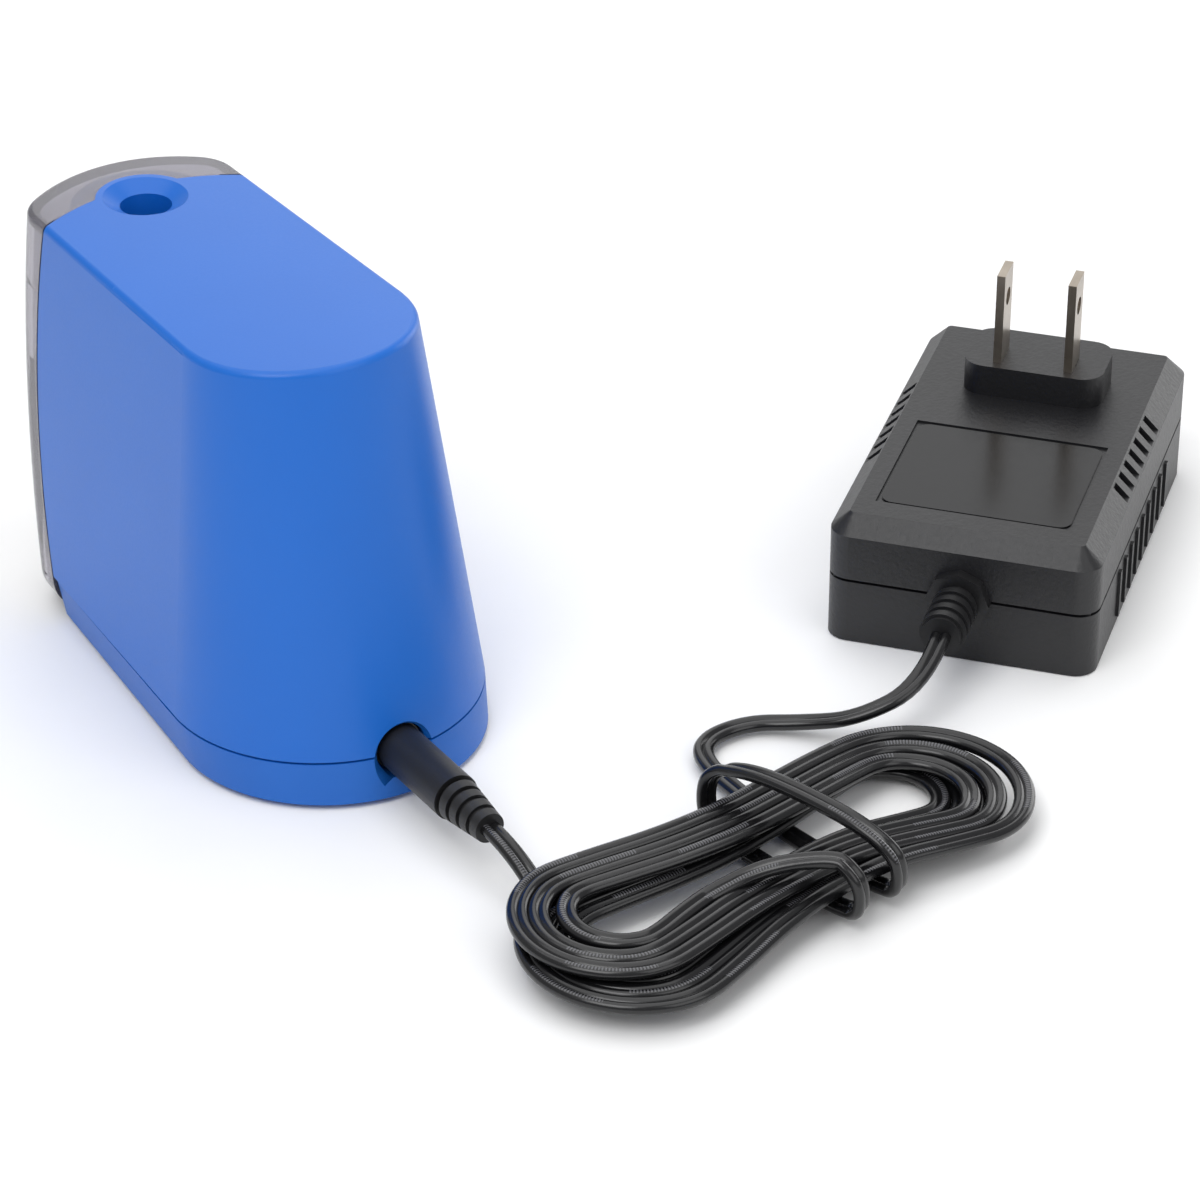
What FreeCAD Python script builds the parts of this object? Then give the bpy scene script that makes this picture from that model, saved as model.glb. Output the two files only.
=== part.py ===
import FreeCAD, Part
import Sketcher
import math
import os
import re

# An electric pencil sharpener with its shavings receptacle, planetary helical
# cutter and plug-in wall adapter.  Millimetres.  The origin is on the floor
# under the middle of the sharpener, +Z is up and the receptacle faces -Y.

doc = FreeCAD.newDocument("pencil_sharpener")
sheet = doc.addObject("Spreadsheet::Sheet", "Sizes")

SIZES = {
    "outer shell": {
        "low_z": 1.5, "mid_z": 44.0, "top_z": 73.0, "parting_z": 8.0, "base_z": 0.8,
        "low_rear_radius": 27.5, "top_rear_radius": 19.7, "low_rear_y": 23.4, "top_rear_y": 17.3,
        "low_corner_x": 16.6, "top_corner_x": 11.85, "corner_radius": 7.0, "front_radius": 29.0,
        "low_front_y": -46.8, "mid_front_y": -51.0, "top_front_y": -48.8,
        "wall": 2.0, "roof": 2.4, "crown": 1.0, "edge_round": 1.2, "chin_round": 5.5,
        "parting_gap": 0.4, "fit_gap": 0.3,
    },
    "base": {
        "foot_inset": 0.65, "foot_rearward": 2.0, "front_inset": 1.3, "rim_front_x": 23.2, "base_front_y": -29.0, "floor_thick": 2.2,
        "pad_radius": 4.0, "pad_sink": 1.0, "pad_x": 15.0, "pad_front_y": -23.5, "pad_rear_y": 36.0,
    },
    "receptacle seam": {
        "seam_plan_radius": 46.0, "seam_high_radius": 82.5, "seam_front_y": -41.2, "seam_z": 42.0,
        "seam_gap": 0.35, "bin_wall": 2.5, "tongue_wall": 1.5, "tongue_gap": 1.4, "tongue_root": 5.0, "tongue_rear_y": -25.0, "dam_top_z": 17.0,
        "tongue_top_z": 45.5, "tongue_low_z": 8.4, "rib_z": 58.2, "rib_height": 0.9,
    },
    "pencil way": {
        "pencil_y": -33.8, "boss_radius": 8.4, "dish_radius": 7.4, "dish_depth": 1.7, "throat_radius": 4.4,
        "guide_radius": 6.0, "guide_low_z": 64.0, "hood_radius": 12.6, "hood_wall": 0.9, "hood_low_z": 51.5,
        "hood_top_z": 69.4, "fascia_y": -33.3, "fascia_thick": 1.8,
    },
    "gear frame": {
        "plate_low_z": 47.0, "plate_thick": 3.0, "cover_low_z": 60.0, "cover_thick": 2.5, "plate_half_x": 15.0,
        "plate_front_y": -31.0, "plate_rear_y": 4.0, "seat_wall": 1.3, "standoff_radius": 2.6,
        "standoff_x": 12.5, "standoff_front_y": -18.0, "standoff_rear_y": 1.0, "bush_wall": 1.4,
        "screw_radius": 1.1, "screw_head_radius": 2.2, "screw_head_high": 1.6, "screw_bite": 6.0,
        "bulkhead_y": -22.4, "bulkhead_thick": 1.8, "shelf_z": 18.5, "shelf_thick": 3.0,
        "shelf_radius": 5.0, "post_radius": 3.0, "post_x": 18.5, "post_front_y": -14.0, "post_rear_y": 20.0,
        "post_rear_x": 20.0,
    },
    "cutter": {
        "tip_z": 24.0, "cone_half_angle": 10.5, "cutter_radius": 3.4, "cutter_low": 21.2, "cutter_high": 41.3,
        "cutter_teeth": 8.0, "cutter_twist": 75.0, "tooth_depth": 0.7, "pin_radius": 1.2, "pin_play": 0.05,
        "slot_play": 0.4, "cone_play": 0.25, "journal_radius": 6.6, "journal_play": 0.05, "pivot_radius": 2.5,
        "flange_radius": 11.3, "flange_z": 51.8, "flange_thick": 1.6, "hub_radius": 8.0, "neck_radius": 7.4,
        "body_top_radius": 8.2, "body_low_radius": 6.2, "body_top_z": 46.0, "heel_z": 23.0,
        "journal_top_z": 63.2,
    },
    "gears": {
        "ring_teeth": 40.0, "planet_teeth": 10.0, "ring_low_z": 47.0, "ring_high_z": 51.0, "ring_radius": 12.9,
        "drive_teeth": 36.0, "idler_small_teeth": 12.0, "drive_module": 0.6, "idler_big_teeth": 30.0,
        "pinion_teeth": 10.0, "pinion_module": 0.5, "backlash": 0.14, "drive_low_z": 53.6, "drive_face": 5.0,
        "wheel_low_z": 63.2, "wheel_face": 3.0, "idler_pin_radius": 1.0, "idler_hub_radius": 2.4,
    },
    "motor": {
        "motor_radius": 10.0, "motor_low_z": 15.0, "motor_gap": 0.2, "bell_high": 4.0, "shaft_radius": 1.0,
        "shaft_top_z": 66.6, "motor_boss_radius": 3.0, "motor_boss_high": 1.5, "motor_screw_x": 6.5,
        "motor_screw_radius": 1.0,
    },
    "switches": {
        "lever_pin_x": 10.5, "lever_y": -26.4, "lever_width": 2.0, "lever_z": 66.6, "lever_thick": 1.6,
        "lever_pin_radius": 0.9, "lever_eye_radius": 2.2, "nose_reach": 1.2, "nose_width": 2.4,
        "switch_x": -12.0, "switch_width": 5.8, "switch_y": -23.6, "switch_long": 12.8, "switch_high": 6.0,
        "button_long": 1.4, "button_wide": 1.6, "button_high": 2.0, "lever_end_x": -13.0,
    },
    "supply": {
        "jack_z": 7.8, "jack_radius": 4.6, "jack_long": 13.8, "jack_setback": 2.3, "socket_radius": 2.9,
        "socket_depth": 10.5, "socket_pin_radius": 1.0, "jack_hole_radius": 4.5, "jack_bevel": 1.0,
        "plug_radius": 4.0, "plug_gap": 0.3, "plug_grip": 18.0, "plug_ring_count": 4.0, "plug_ring_pitch": 2.6,
        "plug_end_radius": 2.6, "barrel_radius": 2.75, "barrel_long": 9.5, "barrel_bore": 1.25,
    },
    "adapter": {
        "adapter_x": -129.8, "adapter_y": 38.6, "adapter_yaw": 220.3, "adapter_long": 78.0, "adapter_wide": 47.0,
        "adapter_high": 23.5, "adapter_parting": 11.8, "adapter_bevel": 3.2, "adapter_corner": 4.0,
        "adapter_wall": 2.2, "adapter_groove": 0.5, "plug_boss_long": 15.0, "plug_boss_wide": 25.0,
        "plug_boss_high": 5.8, "plug_boss_x": 18.9, "blade_pitch": 12.7, "blade_wide": 6.35, "blade_thick": 1.5,
        "blade_long": 17.0, "blade_hole_radius": 1.6, "blade_hole_up": 11.8, "blade_root": 4.0, "blade_x": 16.5,
        "notch_count": 7.0, "notch_pitch": 4.2, "notch_wide": 2.0, "notch_deep": 1.0, "rib_count": 9.0,
        "rib_pitch": 5.0, "rib_wide": 1.2, "rib_proud": 0.5, "label_long": 30.0, "label_wide": 34.0,
        "label_deep": 0.4, "label_x": -16.0, "relief_radius": 3.9, "relief_long": 13.0, "relief_collar": 5.6,
        "relief_z": 11.8, "relief_ring": 0.5, "relief_pitch": 2.6,
    },
    "lead": {
        "cord_radius": 1.6, "cord_rest": 0.05, "hank_x": -35.0, "hank_y": 103.6, "hank_yaw": 12.3, "hank_half_run": 29.0,
        "hank_step": 3.8, "hank_inner": 6.6, "hank_low_z": 5.3, "wrap_corner": 0.36,
    },
}
ALIASES = set()
row = 0
for group, cells in SIZES.items():
    row += 1
    sheet.set("A%d" % row, group)
    for alias, value in cells.items():
        row += 1
        sheet.set("A%d" % row, alias)
        sheet.set("B%d" % row, str(value))
        sheet.setAlias("B%d" % row, alias)
        ALIASES.add(alias)
doc.recompute()


def size(alias):
    """One size, read from the sheet."""
    return float(sheet.get(alias))


def bound(text):
    """A sum of size names as a FreeCAD expression on the sheet."""
    return re.sub(r"[a-z][a-z_]*", lambda word: "Sizes." + word[0] if word[0] in ALIASES else word[0], text)


def place(thing, x="0", y="0", z="0"):
    for axis, text in (("x", x), ("y", y), ("z", z)):
        thing.setExpression("Placement.Base." + axis, bound(text))
    return thing


def box(name, x, y, z, long, wide, high):
    """A box from its low corner."""
    thing = doc.addObject("Part::Box", name)
    for key, text in (("Length", long), ("Width", wide), ("Height", high)):
        thing.setExpression(key, bound(text))
    return place(thing, x, y, z)


UP = FreeCAD.Rotation()
REARWARD = FreeCAD.Rotation(FreeCAD.Vector(1, 0, 0), -90)
SIDEWAYS = FreeCAD.Rotation(FreeCAD.Vector(0, 1, 0), 90)


def cylinder(name, x, y, z, radius, high, turn=UP):
    thing = doc.addObject("Part::Cylinder", name)
    thing.Placement.Rotation = turn
    thing.setExpression("Radius", bound(radius))
    thing.setExpression("Height", bound(high))
    return place(thing, x, y, z)


def cone(name, x, y, z, low, top, high, turn=UP):
    thing = doc.addObject("Part::Cone", name)
    thing.Placement.Rotation = turn
    for key, text in (("Radius1", low), ("Radius2", top), ("Height", high)):
        thing.setExpression(key, bound(text))
    return place(thing, x, y, z)


def fuse(name, *things):
    thing = doc.addObject("Part::MultiFuse", name)
    thing.Shapes = list(things)
    return thing


def common(name, *things):
    thing = doc.addObject("Part::MultiCommon", name)
    thing.Shapes = list(things)
    return thing


def cut(name, body, *tools):
    thing = doc.addObject("Part::Cut", name)
    thing.Base = body
    thing.Tool = tools[0] if len(tools) == 1 else fuse(name + "_tools", *tools)
    return thing


def feature(name, shape):
    """A piece whose form is worked out by formula."""
    thing = doc.addObject("Part::Feature", name)
    thing.Shape = shape
    return thing


def finish(node, thing):
    """Name a finished sub-part; its label also names its file."""
    thing.Label = node
    PIECES.append(thing)
    return thing


PIECES = []
Point = FreeCAD.Vector
AXIS_Z = Point(0, 0, 1)
Rule = Sketcher.Constraint


def between(low, high):
    """The mid section's share of a size that runs straight from low_z to top_z."""
    return "%s + (%s - %s) * (mid_z - low_z) / (top_z - low_z)" % (low, high, low)


def dimension(sketch, rule, text):
    index = sketch.addConstraint(rule)
    sketch.setExpression("Constraints[%d]" % index, bound(text))


def nose_outline(name, z, rear_radius, rear_y, corner_x, front_y, inset):
    """A closed plan outline: round rear, straight sides, rounded corners, bowed front."""
    sketch = doc.addObject("Sketcher::SketchObject", name)
    place(sketch, "0", "0", z)
    rear, side, corner = 24.0, 15.0, 6.0
    sketch.addGeometry(Part.ArcOfCircle(Part.Circle(Point(0, 20, 0), AXIS_Z, rear), 0, math.pi))
    sketch.addGeometry(Part.LineSegment(Point(-rear, 20, 0), Point(-side - corner, -38, 0)))
    sketch.addGeometry(Part.ArcOfCircle(Part.Circle(Point(-side, -38, 0), AXIS_Z, corner), math.pi, math.pi * 1.4))
    sketch.addGeometry(Part.ArcOfCircle(Part.Circle(Point(0, -20, 0), AXIS_Z, 29), math.pi * 1.34, math.pi * 1.66))
    sketch.addGeometry(Part.ArcOfCircle(Part.Circle(Point(side, -38, 0), AXIS_Z, corner), math.pi * 1.6, math.pi * 2))
    sketch.addGeometry(Part.LineSegment(Point(side + corner, -38, 0), Point(rear, 20, 0)))
    for first in range(6):
        sketch.addConstraint(Rule("Tangent", first, 2, (first + 1) % 6, 1))
    sketch.addConstraint(Rule("PointOnObject", 0, 3, -2))
    sketch.addConstraint(Rule("PointOnObject", 3, 3, -2))
    dimension(sketch, Rule("DistanceY", -1, 1, 0, 3, 20), rear_y)
    dimension(sketch, Rule("Radius", 0, rear), "%s - (%s)" % (rear_radius, inset))
    dimension(sketch, Rule("DistanceY", 3, 3, -1, 1, 20), "-(%s) - front_radius" % front_y)
    dimension(sketch, Rule("Radius", 3, 29), "front_radius - (%s)" % inset)
    dimension(sketch, Rule("Radius", 2, corner), "corner_radius - (%s)" % inset)
    dimension(sketch, Rule("Radius", 4, corner), "corner_radius - (%s)" % inset)
    dimension(sketch, Rule("DistanceX", 2, 3, -1, 1, side), corner_x)
    dimension(sketch, Rule("DistanceX", -1, 1, 4, 3, side), corner_x)
    return sketch


def shell_form(name, inset):
    """The whole outer form, or the same form set in from it on every side."""
    sections = [
        nose_outline(name + "_low", "low_z", "low_rear_radius", "low_rear_y", "low_corner_x", "low_front_y", inset),
        nose_outline(name + "_mid", "mid_z", between("low_rear_radius", "top_rear_radius"),
                     between("low_rear_y", "top_rear_y"), between("low_corner_x", "top_corner_x"),
                     "mid_front_y", inset),
        nose_outline(name + "_top", "top_z", "top_rear_radius", "top_rear_y", "top_corner_x", "top_front_y", inset),
    ]
    loft = doc.addObject("Part::Loft", name)
    loft.Sections = sections
    loft.Solid = True
    return loft


def at_parting(low, high):
    """The shell's size at the parting line."""
    return "(%s + (%s - %s) * (parting_z - low_z) / (top_z - low_z))" % (low, high, low)


RIM_RADIUS = at_parting("low_rear_radius", "top_rear_radius")
RIM_Y = at_parting("low_rear_y", "top_rear_y")
REAR_Y = "(%s + %s)" % (RIM_RADIUS, RIM_Y)
JACK_REAR = "(%s - jack_setback)" % REAR_Y
JACK_FRONT = "(%s - jack_long)" % JACK_REAR
PLUG_START = "(%s + plug_gap)" % JACK_REAR


def tub_outline(name, z, rear_radius, rear_y, front_x, inset):
    """The base's plan outline: round rear, straight sides and a straight front."""
    sketch = doc.addObject("Sketcher::SketchObject", name)
    place(sketch, "0", "0", z)
    sketch.addGeometry(Part.ArcOfCircle(Part.Circle(Point(0, 23, 0), AXIS_Z, 26), 0, math.pi))
    sketch.addGeometry(Part.LineSegment(Point(-26, 23, 0), Point(-22, -29, 0)))
    sketch.addGeometry(Part.LineSegment(Point(-22, -29, 0), Point(22, -29, 0)))
    sketch.addGeometry(Part.LineSegment(Point(22, -29, 0), Point(26, 23, 0)))
    sketch.addConstraint(Rule("Tangent", 0, 2, 1, 1))
    sketch.addConstraint(Rule("Coincident", 1, 2, 2, 1))
    sketch.addConstraint(Rule("Coincident", 2, 2, 3, 1))
    sketch.addConstraint(Rule("Tangent", 3, 2, 0, 1))
    sketch.addConstraint(Rule("PointOnObject", 0, 3, -2))
    dimension(sketch, Rule("DistanceY", -1, 1, 0, 3, 23), rear_y)
    dimension(sketch, Rule("Radius", 0, 26), "%s - (%s)" % (rear_radius, inset))
    for corner, side in ((1, -1), (3, 1)):
        ends = (-1, 1, 2, 2) if side > 0 else (2, 1, -1, 1)
        dimension(sketch, Rule("DistanceX", *ends, 22), "%s - (%s)" % (front_x, inset))
        ends = (2, 2, -1, 1) if side > 0 else (2, 1, -1, 1)
        dimension(sketch, Rule("DistanceY", *ends, 29), "-(base_front_y) - (%s)" % inset)
    return sketch


def tub_form(name, low_z, high_z, inset):
    loft = doc.addObject("Part::Loft", name)
    loft.Sections = [
        tub_outline(name + "_foot", low_z, RIM_RADIUS + " - foot_inset", RIM_Y + " + foot_rearward",
                    "rim_front_x - front_inset", inset),
        tub_outline(name + "_rim", high_z, RIM_RADIUS, RIM_Y, "rim_front_x", inset),
    ]
    loft.Solid = True
    return loft


def seam_form(name, extra):
    """The double-bowed seam between housing and receptacle, as an egg to cut with."""
    egg = doc.addObject("Part::Ellipsoid", name)
    egg.setExpression("Radius1", bound("seam_high_radius + " + extra))
    egg.setExpression("Radius2", bound("seam_plan_radius + " + extra))
    egg.setExpression("Radius3", bound("seam_plan_radius + " + extra))
    return place(egg, "0", "seam_front_y + seam_plan_radius", "seam_z")


# Housing: one tapered blue moulding with a crowned top, a pencil boss, a hood
# over the gears and posts for the screws.  It is open below and in front.
outer = shell_form("outer_form", "0")
crown_radius = "((top_rear_radius ^ 2 + crown ^ 2) / (2 * crown))"
crown = cylinder("crown_form", "0", "-100", "top_z - " + crown_radius, crown_radius, "200", REARWARD)
crowned = common("crowned_form", outer, crown)
doc.recompute()


def rounded(name, body, radius, picks):
    """A body with the edges that picks() accepts rounded."""
    doc.recompute()
    thing = doc.addObject("Part::Fillet", name)
    thing.Base = body
    thing.Edges = [(index, size(radius), size(radius))
                   for index, edge in enumerate(body.Shape.Edges, 1) if picks(edge)]
    return thing


def on_top_rim(edge):
    ends = edge.valueAt(edge.FirstParameter), edge.valueAt(edge.LastParameter)
    return all(end.z > size("top_z") - size("crown") - 0.6 for end in ends) and edge.Length > 4


whole = rounded("rounded_form", crowned, "edge_round", on_top_rim)
inner = shell_form("inner_form", "wall")
cavity = common("housing_cavity", inner,
                box("cavity_limit", "-40", "-70", "0", "80", "140", "top_z - crown - roof + 1"))
front_block = box("front_block", "-60", "-90", "-10", "120", "90 + seam_front_y + seam_plan_radius", "120")
front_zone = cut("front_zone", front_block, seam_form("seam_egg", "0"))
shell = cut("housing_shell", whole, cavity, front_zone,
            box("below_parting", "-60", "-90", "-10", "120", "180", "10 + parting_z + parting_gap / 2"))
roof_z = "top_z - crown - roof + 1"
boss = common("pencil_boss", whole,
              cylinder("boss_form", "0", "pencil_y", "hood_top_z - hood_wall", "boss_radius", "10"))
guide = cylinder("guide_form", "0", "pencil_y", "guide_low_z", "guide_radius", "hood_top_z - guide_low_z")
hood_rear = "fascia_y + fascia_thick"
hood = common("hood_front", cylinder("hood_form", "0", "pencil_y", "hood_low_z", "hood_radius",
                                     "hood_top_z - hood_low_z"),
              box("hood_limit", "-40", "-90", "0", "80", "90 + " + hood_rear, "90"))
fascia = common("fascia", inner, box("fascia_form", "-40", "fascia_y", "hood_low_z", "80", "fascia_thick",
                                     roof_z + " - hood_low_z + 0.5"))
hood_bore = cylinder("hood_bore", "0", "pencil_y", "hood_low_z - 1", "hood_radius - hood_wall",
                     "hood_top_z - hood_wall - hood_low_z + 1")
posts = []
for tag, x, y in (("a", "post_x", "post_front_y"), ("b", "-post_x", "post_front_y"),
                  ("c", "post_rear_x", "post_rear_y"), ("d", "-post_rear_x", "post_rear_y")):
    posts.append(cylinder("post_" + tag, x, y, "parting_z + parting_gap / 2", "post_radius", "70"))
hangers = []
STANDOFFS = (("a", "standoff_x", "standoff_front_y"), ("b", "standoff_x", "standoff_rear_y"),
             ("c", "-standoff_x", "standoff_rear_y"))
for tag, x, y in STANDOFFS:
    hangers.append(cylinder("hanger_" + tag, x, y, "cover_low_z + cover_thick", "standoff_radius", "15"))
ribs_inside = common("posts_inside", whole, fuse("all_posts", *posts, *hangers))
screw_ways = []
for tag, x, y in STANDOFFS:
    screw_ways.append(cylinder("hanger_way_" + tag, x, y, "cover_low_z + cover_thick - 1", "screw_radius",
                               "1 + screw_bite"))
for tag, x, y in (("a", "post_x", "post_front_y"), ("b", "-post_x", "post_front_y"),
                  ("c", "post_rear_x", "post_rear_y"), ("d", "-post_rear_x", "post_rear_y")):
    screw_ways.append(cylinder("post_way_" + tag, x, y, "parting_z - 1", "screw_radius", "2 + screw_bite"))
hollow_hood = cut("hollow_hood", fuse("hood_block", hood, fascia), hood_bore)
moulding = fuse("housing_block", shell, boss, guide, hollow_hood, ribs_inside)
throat = cylinder("throat", "0", "pencil_y", "guide_low_z - 1", "throat_radius", "30")
dish = cone("dish", "0", "pencil_y", "top_z - dish_depth", "throat_radius", "dish_radius", "dish_depth")
nose_slot = box("nose_slot", "-nose_width / 2 - fit_gap", "pencil_y", "lever_z - fit_gap",
                "nose_width + 2 * fit_gap", "guide_radius + 1", "lever_thick + 2 * fit_gap")
jack_hole = cylinder("jack_hole", "0", JACK_FRONT, "jack_z", "jack_hole_radius", "40", REARWARD)
jack_bevel = cone("jack_bevel", "0", REAR_Y + " - 1.4", "jack_z", "jack_hole_radius",
                  "jack_hole_radius + 2", "2", REARWARD)
housing = cut("housing_cut", moulding, throat, dish, nose_slot, jack_hole, jack_bevel, *screw_ways)
finish("housing", housing)

# Shavings receptacle: a smoky clear bin that closes the whole front.  Its top is
# cut round the pencil boss, and its tongue and low dam reach back into the housing.
chin = rounded("chin_form", whole, "chin_round",
               lambda edge: edge.BoundBox.ZMax < size("low_z") + 0.1)
bin_outer = cut("bin_outer", common("bin_front", chin, front_block), seam_form("bin_egg", "seam_gap"))
bin_inner_form = shell_form("bin_inner_form", "bin_wall")
bin_room = common("bin_room", bin_inner_form,
                  box("bin_room_limit", "-40", "-70", "low_z + bin_wall", "80", "140",
                      "top_z - crown - bin_wall - low_z - bin_wall"))
bin_skin = cut("bin_skin", bin_outer, bin_room,
               cylinder("boss_way", "0", "pencil_y", "60", "boss_radius + seam_gap", "30"))
tongue_form = shell_form("tongue_form", "wall + tongue_gap")
tongue_hole = shell_form("tongue_hole", "wall + tongue_gap + tongue_wall")
root_zone = box("root_zone", "-40", "seam_front_y + 0.2", "tongue_low_z + 0.3", "80", "tongue_root",
                "tongue_top_z - tongue_low_z - 0.7")
root = cut("tongue_root", common("root_block", shell_form("root_form", "bin_wall - fit_gap"), root_zone),
           shell_form("root_hole", "wall + tongue_gap + tongue_wall - fit_gap"))
tongue_zone = box("tongue_zone", "-40", "seam_front_y", "tongue_low_z", "80", "tongue_rear_y - seam_front_y",
                  "tongue_top_z - tongue_low_z")
tongue_room = box("tongue_room", "-40", "-90", "tongue_low_z + tongue_wall", "80", "180", "90")
tongue = cut("tongue", common("tongue_block", tongue_form, tongue_zone),
             common("tongue_space", tongue_hole, tongue_room))
dam = common("dam", tongue_form, box("dam_form", "-40", "tongue_rear_y - tongue_wall", "tongue_low_z", "80",
                                     "tongue_wall", "dam_top_z - tongue_low_z"))
inner_rib = cut("inner_rib", common("rib_band", bin_outer, box("rib_zone", "-40", "-70", "rib_z", "80", "140",
                                                               "rib_height")),
                shell_form("rib_hole", "bin_wall + 0.8"))
receptacle = fuse("receptacle_block", bin_skin, root, tongue, dam, inner_rib)
finish("receptacle", receptacle)

# Base: a shallow tub under the housing with a locating lip, screw wells and foot recesses.
tub = tub_form("tub_form", "base_z", "parting_z - parting_gap / 2", "0")
tub_room = tub_form("tub_room", "base_z + floor_thick", "parting_z + 0.5", "wall")
lip_form = tub_form("lip_form", "base_z", "parting_z + 2", "wall + fit_gap + 0.6")
lip_hole = tub_form("lip_hole", "base_z", "parting_z + 2.5", "wall + fit_gap + 1.8")
lip = cut("lip", common("lip_band", lip_form, box("lip_zone", "-40", "bulkhead_y + bulkhead_thick + 1", "base_z + 1",
                                                  "80", "100", "parting_z + 1.6 - base_z - 1")), lip_hole)
WELLS = (("a", "post_x", "post_front_y"), ("b", "-post_x", "post_front_y"),
         ("c", "post_rear_x", "post_rear_y"), ("d", "-post_rear_x", "post_rear_y"))
PADS = (("a", "pad_x", "pad_front_y"), ("b", "-pad_x", "pad_front_y"),
        ("c", "pad_x", "pad_rear_y"), ("d", "-pad_x", "pad_rear_y"))
wells = []
well_holes = []
base_screws = []
post_rooms = [cylinder("post_room_" + tag, x, y, "parting_z - parting_gap", "post_radius + fit_gap", "20")
              for tag, x, y in WELLS]
for tag, x, y in WELLS:
    wells.append(cylinder("well_" + tag, x, y, "base_z", "post_radius", "parting_z - base_z"))
    well_holes.append(cylinder("well_way_" + tag, x, y, "base_z - 1", "screw_radius + 0.1", "20"))
    well_holes.append(cylinder("well_head_" + tag, x, y, "base_z - 1", "screw_head_radius + 0.2", "4"))
    shank = cylinder("base_shank_" + tag, x, y, "base_z + 3", "screw_radius", "parting_z - base_z - 3 + screw_bite")
    head = cylinder("base_head_" + tag, x, y, "base_z + 3 - screw_head_high", "screw_head_radius", "screw_head_high")
    base_screws.append(fuse("base_screw_" + tag, shank, head))
pad_wells = []
pads = []
for tag, x, y in PADS:
    pad_wells.append(cylinder("pad_well_" + tag, x, y, "base_z - 1", "pad_radius", "1 + pad_sink"))
    pads.append(cone("pad_" + tag, x, y, "0", "pad_radius - 0.4", "pad_radius", "base_z + pad_sink"))
base_hole = cylinder("base_jack_hole", "0", JACK_REAR + " - 1", "jack_z", "jack_hole_radius", "40", REARWARD)
base_bevel = cone("base_jack_bevel", "0", REAR_Y + " - 1.4", "jack_z", "jack_hole_radius",
                  "jack_hole_radius + 2", "2", REARWARD)
lip_gate = box("lip_gate", "-jack_hole_radius - 1", JACK_FRONT, "base_z + floor_thick",
               "2 * jack_hole_radius + 2", "jack_long + 0.5", "20")
base = cut("base_cut", fuse("base_block", cut("tub_shell", tub, tub_room), cut("lip_gated", lip, lip_gate, *post_rooms), *wells),
           base_hole, base_bevel, *well_holes, *pad_wells)
finish("base", base)
finish("rubber_feet", fuse("feet_group", *pads))
finish("base_screws", fuse("base_screw_group", *base_screws))

# Gear frame: the lower plate that carries the ring gear and the motor, with three standoffs.
fit_form = shell_form("fit_form", "wall + fit_gap")
seat_radius = "ring_radius + seat_wall"
plate = fuse("plate_form",
             box("plate_rear", "-plate_half_x", "plate_front_y", "plate_low_z", "2 * plate_half_x",
                 "plate_rear_y - plate_front_y", "plate_thick"),
             cylinder("plate_nose", "0", "pencil_y", "plate_low_z", seat_radius, "plate_thick"))
standoffs = []
frame_ways = []
frame_screws = []
for tag, x, y in STANDOFFS:
    standoffs.append(cylinder("standoff_" + tag, x, y, "plate_low_z", "standoff_radius",
                              "cover_low_z - plate_low_z"))
    frame_ways.append(cylinder("frame_way_" + tag, x, y, "plate_low_z - 1", "screw_radius + 0.1", "30"))
    shank = cylinder("frame_shank_" + tag, x, y, "plate_low_z", "screw_radius",
                     "cover_low_z + cover_thick + screw_bite - 1 - plate_low_z")
    head = cylinder("frame_head_" + tag, x, y, "plate_low_z - screw_head_high", "screw_head_radius",
                    "screw_head_high")
    frame_screws.append(fuse("frame_screw_" + tag, shank, head))
drive_span = "drive_module * (drive_teeth + idler_small_teeth) / 2"
idler_y = "(pencil_y + " + drive_span + ")"
motor_y = "(" + idler_y + " + pinion_module * (idler_big_teeth + pinion_teeth) / 2)"
motor_ways = [cylinder("motor_boss_way", "0", motor_y, "plate_low_z - 1", "motor_boss_radius + fit_gap", "20")]
motor_screws = []
for tag, x in (("a", "motor_screw_x"), ("b", "-motor_screw_x")):
    motor_ways.append(cylinder("motor_way_" + tag, x, motor_y, "plate_low_z - 1", "motor_screw_radius + 0.1", "6"))
    shank = cylinder("motor_shank_" + tag, x, motor_y, "plate_low_z - 3", "motor_screw_radius", "plate_thick + 3")
    head = cylinder("motor_head_" + tag, x, motor_y, "plate_low_z + plate_thick", "motor_screw_radius + 0.9", "1.2")
    motor_screws.append(fuse("motor_screw_" + tag, shank, head))
idler_well = cylinder("idler_well", "0", idler_y, "plate_low_z + plate_thick - 2", "idler_pin_radius", "4")
frame = cut("frame_cut", fuse("frame_block", plate, *standoffs),
            cylinder("ring_seat", "0", "pencil_y", "plate_low_z - 1", "ring_radius", "plate_thick + 2"),
            idler_well, *motor_ways, *frame_ways)
finish("gear_frame", frame)
finish("frame_screws", fuse("frame_screw_group", *frame_screws))
finish("motor_screws", fuse("motor_screw_group", *motor_screws))

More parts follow.
